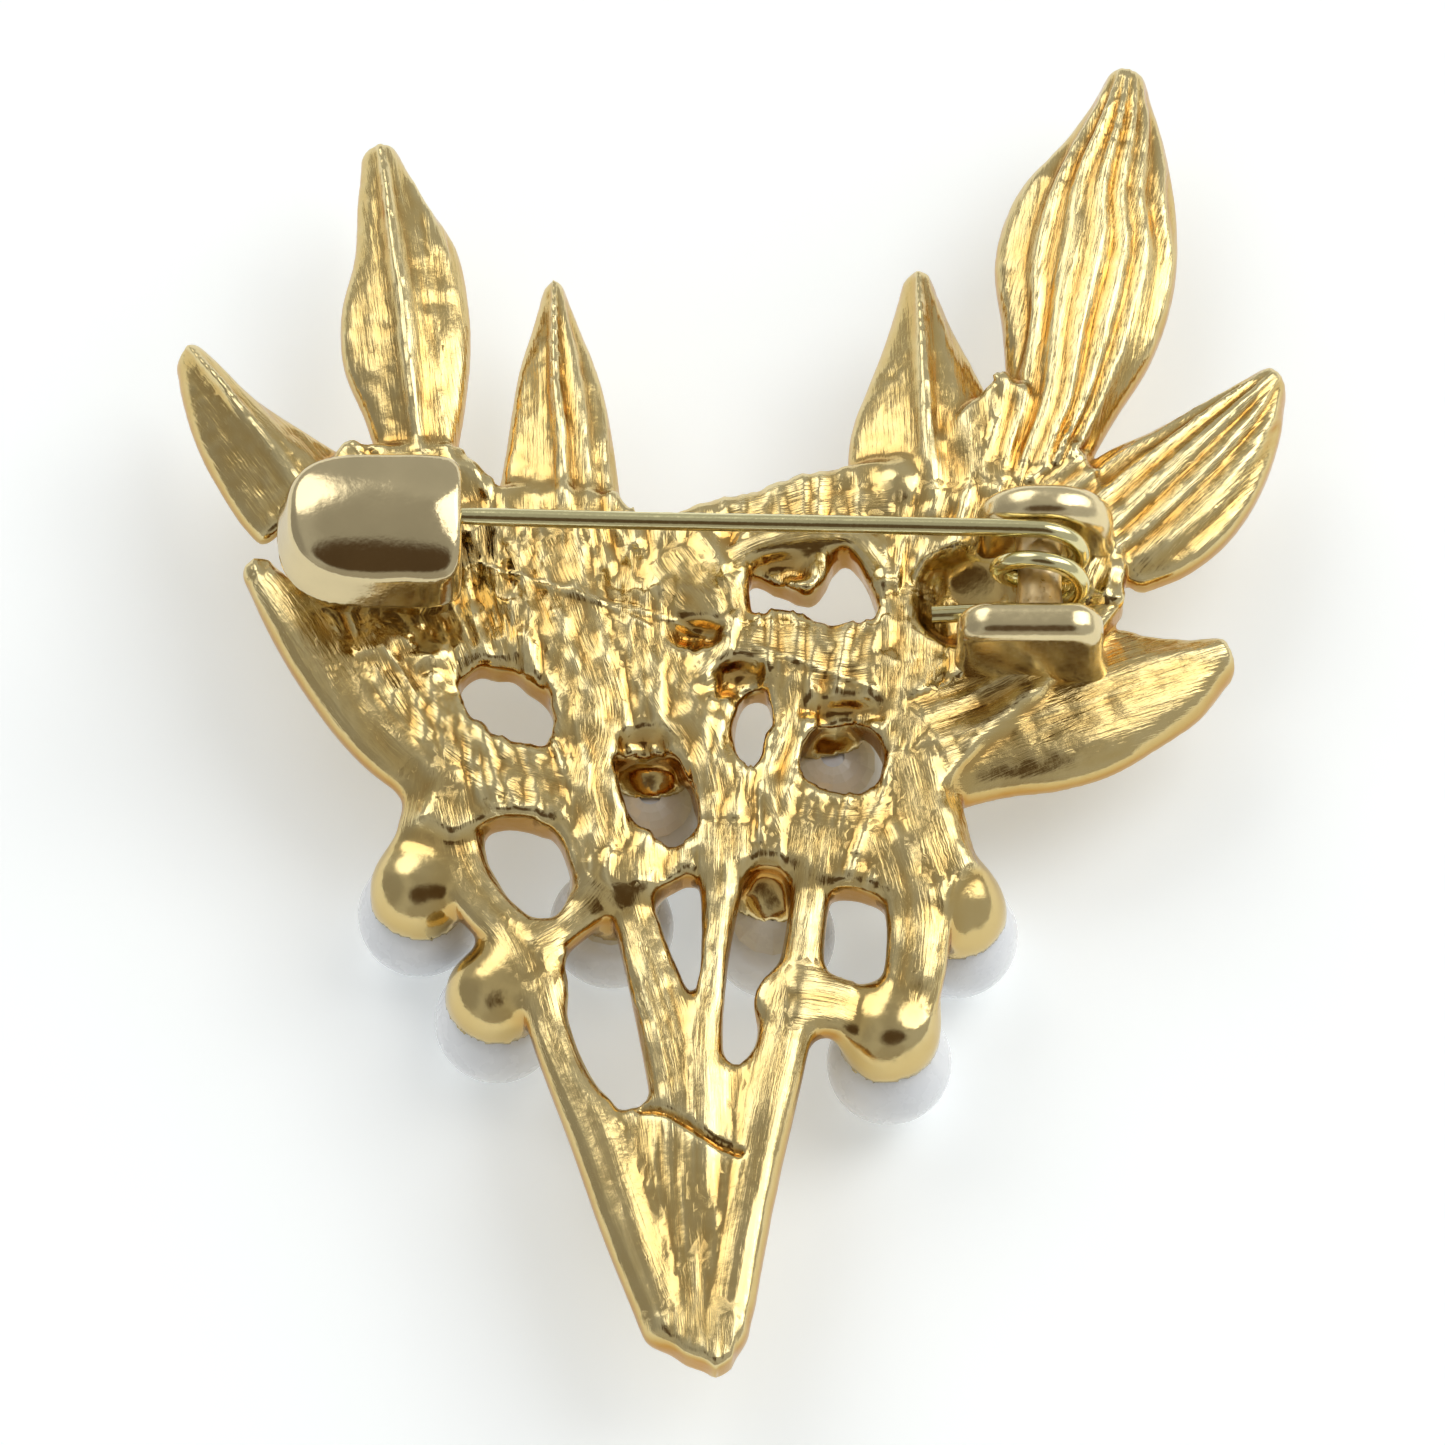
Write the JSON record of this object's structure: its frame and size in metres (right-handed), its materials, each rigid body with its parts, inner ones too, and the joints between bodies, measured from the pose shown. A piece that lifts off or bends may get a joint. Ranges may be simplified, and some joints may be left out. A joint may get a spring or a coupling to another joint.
{
  "type": "brooch",
  "caption": "Gold-plated leaf-spray brooch with imitation pearls in cups, openwork back, hood catch and a sprung hinged pin, lying face down.",
  "frame": {"origin": "centre of the bounding box in plan, at the level of the pearls' lowest points", "axes": "+Z out of the back (pin side), +Y from the stem tip to the leaf tips, +X from the catch to the hinge"},
  "size_m": [0.0514, 0.0668, 0.0136],
  "materials": {
    "gold": "polished gold plate on a zinc casting",
    "pin_gold": "gold-plated spring wire",
    "pearl": "pearl lacquer",
    "cement": "clear yellowed cement"
  },
  "bodies": {
    "brooch": {"pearl_a": "pearl", "pearl_b": "pearl", "pearl_c": "pearl", "pearl_d": "pearl", "pearl_e": "pearl", "pearl_f": "pearl", "pearl_g": "pearl", "pearl_h": "pearl", "pearl_i": "pearl", "pearl_j": "pearl", "cement_a": "cement", "cement_b": "cement", "cement_c": "cement", "cement_d": "cement", "cement_e": "cement", "cement_f": "cement", "cement_g": "cement", "cement_h": "cement", "cement_i": "cement", "cement_j": "cement", "cup_a": "gold", "cup_b": "gold", "cup_c": "gold", "cup_d": "gold", "cup_e": "gold", "cup_f": "gold", "cup_g": "gold", "cup_h": "gold", "cup_i": "gold", "cup_j": "gold", "pivot_peg": "gold", "catch_hood": "gold", "hinge_ear_upper": "gold", "hinge_ear_lower": "gold", "leaf_far_left": "gold", "leaf_top_left": "gold", "leaf_small_left": "gold", "leaf_rim_left": "gold", "leaf_small_right": "gold", "leaf_top_right": "gold", "leaf_side_right": "gold", "leaf_low_right": "gold", "stem_left_outer": "gold", "stem_left_inner": "gold", "stem_middle": "gold", "stem_right": "gold", "link_left": "gold", "link_left_inner": "gold", "link_right": "gold", "link_right_inner": "gold", "stem_wedge": "gold", "back_left": "gold", "back_right": "gold"},
    "pin": {"pin_wire": "pin_gold"}
  },
  "joints": [
    {"name": "pin_swing", "type": "hinge", "parent": "brooch", "child": "pin", "pos_m": [0.01426, 0.00549, 0.0107], "axis": [0, 1, 0], "range_deg": [0, 75], "deforming": ["pin_wire"]}
  ]
}
